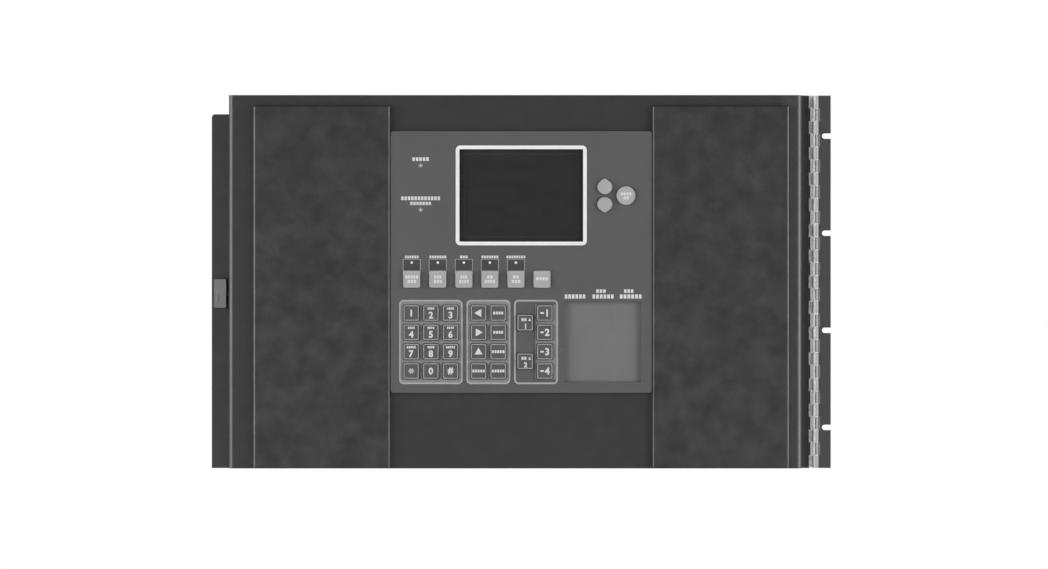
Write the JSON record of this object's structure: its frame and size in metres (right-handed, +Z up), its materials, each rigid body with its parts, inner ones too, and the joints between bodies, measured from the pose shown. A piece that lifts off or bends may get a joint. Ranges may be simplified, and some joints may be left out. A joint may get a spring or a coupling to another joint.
{
  "type": "fire alarm control panel",
  "caption": "Swing-out operator door of a fire alarm panel: folded steel pan with display, keypad, blank plates, slide latch and piano hinge.",
  "frame": {"origin": "back face of the hinge's cabinet leaf, halfway up it, on the line of its screw slots", "axes": "+X across the door from its latch to its hinge, +Y back into the cabinet, +Z up; the door faces -Y"},
  "size_m": [0.6098, 0.0397, 0.367],
  "materials": {
    "hinge_leaf_paint": "satin dark grey powder coat, worn bright at the knuckles",
    "hinge_steel": "bare rolled steel, lightly brushed",
    "door_paint": "fine-textured dark grey powder coat",
    "plate_paint": "fine-textured dark grey powder coat",
    "zinc_fastener": "bright zinc plate",
    "overlay_plastic": "matte mid-grey moulded ABS, fine grain",
    "display_glass": "smoke-tinted acrylic window",
    "card": "plain uncoated grey card",
    "lens_plastic": "smoke-tinted polycarbonate",
    "module_metal": "pressed sheet frame",
    "silicone": "matte moulded silicone",
    "circuit_board": "solder-masked glass-epoxy laminate",
    "led_plastic": "clear epoxy",
    "brass": "turned brass",
    "terminal_plastic": "moulded green polyamide",
    "ribbon_plastic": "flat PVC ribbon",
    "sounder_plastic": "moulded black polyester",
    "cover_steel": "galvanised sheet with a faint spangle",
    "latch_plastic_dark": "moulded black acetal",
    "latch_plastic": "moulded grey acetal",
    "spring_steel": "drawn spring wire",
    "key_plastic": "matte dark-grey moulded key",
    "status_key_plastic": "matte light-grey moulded key",
    "round_key_plastic": "matte light-grey moulded key"
  },
  "bodies": {
    "hinge": {"hinge_cabinet_leaf": "hinge_leaf_paint", "hinge_pin": "hinge_steel"},
    "door": {"hinge_door_leaf": "hinge_steel", "door_pan": "door_paint", "left_blank_plate": "plate_paint", "right_blank_plate": "plate_paint", "flange_nuts": "zinc_fastener", "keypad_overlay": "overlay_plastic", "display_window": "display_glass", "label_card": "card", "status_lenses": "lens_plastic", "lcd_module": "module_metal", "keypad_mat": "silicone", "keypad_board": "circuit_board", "status_leds": "led_plastic", "board_standoffs": "brass", "board_screws": "zinc_fastener", "controller_board": "circuit_board", "terminal_blocks": "terminal_plastic", "ribbon_cable": "ribbon_plastic", "sounder": "sounder_plastic", "rear_cover": "cover_steel", "latch_housing": "latch_plastic_dark", "latch_spring": "spring_steel"},
    "latch": {"latch_slider": "latch_plastic"},
    "key_status_1": {"key_status_1": "status_key_plastic"},
    "key_status_2": {"key_status_2": "status_key_plastic"},
    "key_status_3": {"key_status_3": "status_key_plastic"},
    "key_status_4": {"key_status_4": "status_key_plastic"},
    "key_status_5": {"key_status_5": "status_key_plastic"},
    "key_status_6": {"key_status_6": "status_key_plastic"},
    "key_digit_1": {"key_digit_1": "key_plastic"},
    "key_digit_2": {"key_digit_2": "key_plastic"},
    "key_digit_3": {"key_digit_3": "key_plastic"},
    "key_digit_4": {"key_digit_4": "key_plastic"},
    "key_digit_5": {"key_digit_5": "key_plastic"},
    "key_digit_6": {"key_digit_6": "key_plastic"},
    "key_digit_7": {"key_digit_7": "key_plastic"},
    "key_digit_8": {"key_digit_8": "key_plastic"},
    "key_digit_9": {"key_digit_9": "key_plastic"},
    "key_digit_star": {"key_digit_star": "key_plastic"},
    "key_digit_0": {"key_digit_0": "key_plastic"},
    "key_digit_hash": {"key_digit_hash": "key_plastic"},
    "key_arrow_left": {"key_arrow_left": "key_plastic"},
    "key_arrow_right": {"key_arrow_right": "key_plastic"},
    "key_arrow_up": {"key_arrow_up": "key_plastic"},
    "key_edit": {"key_edit": "key_plastic"},
    "key_command_1": {"key_command_1": "key_plastic"},
    "key_command_2": {"key_command_2": "key_plastic"},
    "key_command_3": {"key_command_3": "key_plastic"},
    "key_command_4": {"key_command_4": "key_plastic"},
    "key_function_1": {"key_function_1": "key_plastic"},
    "key_function_2": {"key_function_2": "key_plastic"},
    "key_function_3": {"key_function_3": "key_plastic"},
    "key_function_4": {"key_function_4": "key_plastic"},
    "key_shift_1": {"key_shift_1": "key_plastic"},
    "key_shift_2": {"key_shift_2": "key_plastic"},
    "key_scroll_up": {"key_scroll_up": "round_key_plastic"},
    "key_scroll_down": {"key_scroll_down": "round_key_plastic"},
    "key_select": {"key_select": "round_key_plastic"}
  },
  "joints": [
    {"name": "door_swing", "type": "hinge", "parent": "hinge", "child": "door", "pos_m": [-0.01, -0.00335, 0], "axis": [0, 0, 1], "range_deg": [0, 120]},
    {"name": "latch_slide", "type": "slide", "parent": "door", "child": "latch", "axis": [1, 0, 0], "range_m": [0, 0.003], "stiffness_N_per_m": 500, "springref_m": -0.003, "deforming": ["latch_spring"]},
    {"name": "press_status_1", "type": "slide", "parent": "door", "child": "key_status_1", "axis": [0, 1, 0], "range_m": [0, 0.001], "stiffness_N_per_m": 800, "springref_m": -0.0005},
    {"name": "press_status_2", "type": "slide", "parent": "door", "child": "key_status_2", "axis": [0, 1, 0], "range_m": [0, 0.001], "stiffness_N_per_m": 800, "springref_m": -0.0005},
    {"name": "press_status_3", "type": "slide", "parent": "door", "child": "key_status_3", "axis": [0, 1, 0], "range_m": [0, 0.001], "stiffness_N_per_m": 800, "springref_m": -0.0005},
    {"name": "press_status_4", "type": "slide", "parent": "door", "child": "key_status_4", "axis": [0, 1, 0], "range_m": [0, 0.001], "stiffness_N_per_m": 800, "springref_m": -0.0005},
    {"name": "press_status_5", "type": "slide", "parent": "door", "child": "key_status_5", "axis": [0, 1, 0], "range_m": [0, 0.001], "stiffness_N_per_m": 800, "springref_m": -0.0005},
    {"name": "press_status_6", "type": "slide", "parent": "door", "child": "key_status_6", "axis": [0, 1, 0], "range_m": [0, 0.001], "stiffness_N_per_m": 800, "springref_m": -0.0005},
    {"name": "press_digit_1", "type": "slide", "parent": "door", "child": "key_digit_1", "axis": [0, 1, 0], "range_m": [0, 0.001], "stiffness_N_per_m": 800, "springref_m": -0.0005},
    {"name": "press_digit_2", "type": "slide", "parent": "door", "child": "key_digit_2", "axis": [0, 1, 0], "range_m": [0, 0.001], "stiffness_N_per_m": 800, "springref_m": -0.0005},
    {"name": "press_digit_3", "type": "slide", "parent": "door", "child": "key_digit_3", "axis": [0, 1, 0], "range_m": [0, 0.001], "stiffness_N_per_m": 800, "springref_m": -0.0005},
    {"name": "press_digit_4", "type": "slide", "parent": "door", "child": "key_digit_4", "axis": [0, 1, 0], "range_m": [0, 0.001], "stiffness_N_per_m": 800, "springref_m": -0.0005},
    {"name": "press_digit_5", "type": "slide", "parent": "door", "child": "key_digit_5", "axis": [0, 1, 0], "range_m": [0, 0.001], "stiffness_N_per_m": 800, "springref_m": -0.0005},
    {"name": "press_digit_6", "type": "slide", "parent": "door", "child": "key_digit_6", "axis": [0, 1, 0], "range_m": [0, 0.001], "stiffness_N_per_m": 800, "springref_m": -0.0005},
    {"name": "press_digit_7", "type": "slide", "parent": "door", "child": "key_digit_7", "axis": [0, 1, 0], "range_m": [0, 0.001], "stiffness_N_per_m": 800, "springref_m": -0.0005},
    {"name": "press_digit_8", "type": "slide", "parent": "door", "child": "key_digit_8", "axis": [0, 1, 0], "range_m": [0, 0.001], "stiffness_N_per_m": 800, "springref_m": -0.0005},
    {"name": "press_digit_9", "type": "slide", "parent": "door", "child": "key_digit_9", "axis": [0, 1, 0], "range_m": [0, 0.001], "stiffness_N_per_m": 800, "springref_m": -0.0005},
    {"name": "press_digit_star", "type": "slide", "parent": "door", "child": "key_digit_star", "axis": [0, 1, 0], "range_m": [0, 0.001], "stiffness_N_per_m": 800, "springref_m": -0.0005},
    {"name": "press_digit_0", "type": "slide", "parent": "door", "child": "key_digit_0", "axis": [0, 1, 0], "range_m": [0, 0.001], "stiffness_N_per_m": 800, "springref_m": -0.0005},
    {"name": "press_digit_hash", "type": "slide", "parent": "door", "child": "key_digit_hash", "axis": [0, 1, 0], "range_m": [0, 0.001], "stiffness_N_per_m": 800, "springref_m": -0.0005},
    {"name": "press_arrow_left", "type": "slide", "parent": "door", "child": "key_arrow_left", "axis": [0, 1, 0], "range_m": [0, 0.001], "stiffness_N_per_m": 800, "springref_m": -0.0005},
    {"name": "press_arrow_right", "type": "slide", "parent": "door", "child": "key_arrow_right", "axis": [0, 1, 0], "range_m": [0, 0.001], "stiffness_N_per_m": 800, "springref_m": -0.0005},
    {"name": "press_arrow_up", "type": "slide", "parent": "door", "child": "key_arrow_up", "axis": [0, 1, 0], "range_m": [0, 0.001], "stiffness_N_per_m": 800, "springref_m": -0.0005},
    {"name": "press_edit", "type": "slide", "parent": "door", "child": "key_edit", "axis": [0, 1, 0], "range_m": [0, 0.001], "stiffness_N_per_m": 800, "springref_m": -0.0005},
    {"name": "press_command_1", "type": "slide", "parent": "door", "child": "key_command_1", "axis": [0, 1, 0], "range_m": [0, 0.001], "stiffness_N_per_m": 800, "springref_m": -0.0005},
    {"name": "press_command_2", "type": "slide", "parent": "door", "child": "key_command_2", "axis": [0, 1, 0], "range_m": [0, 0.001], "stiffness_N_per_m": 800, "springref_m": -0.0005},
    {"name": "press_command_3", "type": "slide", "parent": "door", "child": "key_command_3", "axis": [0, 1, 0], "range_m": [0, 0.001], "stiffness_N_per_m": 800, "springref_m": -0.0005},
    {"name": "press_command_4", "type": "slide", "parent": "door", "child": "key_command_4", "axis": [0, 1, 0], "range_m": [0, 0.001], "stiffness_N_per_m": 800, "springref_m": -0.0005},
    {"name": "press_function_1", "type": "slide", "parent": "door", "child": "key_function_1", "axis": [0, 1, 0], "range_m": [0, 0.001], "stiffness_N_per_m": 800, "springref_m": -0.0005},
    {"name": "press_function_2", "type": "slide", "parent": "door", "child": "key_function_2", "axis": [0, 1, 0], "range_m": [0, 0.001], "stiffness_N_per_m": 800, "springref_m": -0.0005},
    {"name": "press_function_3", "type": "slide", "parent": "door", "child": "key_function_3", "axis": [0, 1, 0], "range_m": [0, 0.001], "stiffness_N_per_m": 800, "springref_m": -0.0005},
    {"name": "press_function_4", "type": "slide", "parent": "door", "child": "key_function_4", "axis": [0, 1, 0], "range_m": [0, 0.001], "stiffness_N_per_m": 800, "springref_m": -0.0005},
    {"name": "press_shift_1", "type": "slide", "parent": "door", "child": "key_shift_1", "axis": [0, 1, 0], "range_m": [0, 0.001], "stiffness_N_per_m": 800, "springref_m": -0.0005},
    {"name": "press_shift_2", "type": "slide", "parent": "door", "child": "key_shift_2", "axis": [0, 1, 0], "range_m": [0, 0.001], "stiffness_N_per_m": 800, "springref_m": -0.0005},
    {"name": "press_scroll_up", "type": "slide", "parent": "door", "child": "key_scroll_up", "axis": [0, 1, 0], "range_m": [0, 0.001], "stiffness_N_per_m": 800, "springref_m": -0.0005},
    {"name": "press_scroll_down", "type": "slide", "parent": "door", "child": "key_scroll_down", "axis": [0, 1, 0], "range_m": [0, 0.001], "stiffness_N_per_m": 800, "springref_m": -0.0005},
    {"name": "press_select", "type": "slide", "parent": "door", "child": "key_select", "axis": [0, 1, 0], "range_m": [0, 0.001], "stiffness_N_per_m": 800, "springref_m": -0.0005}
  ]
}
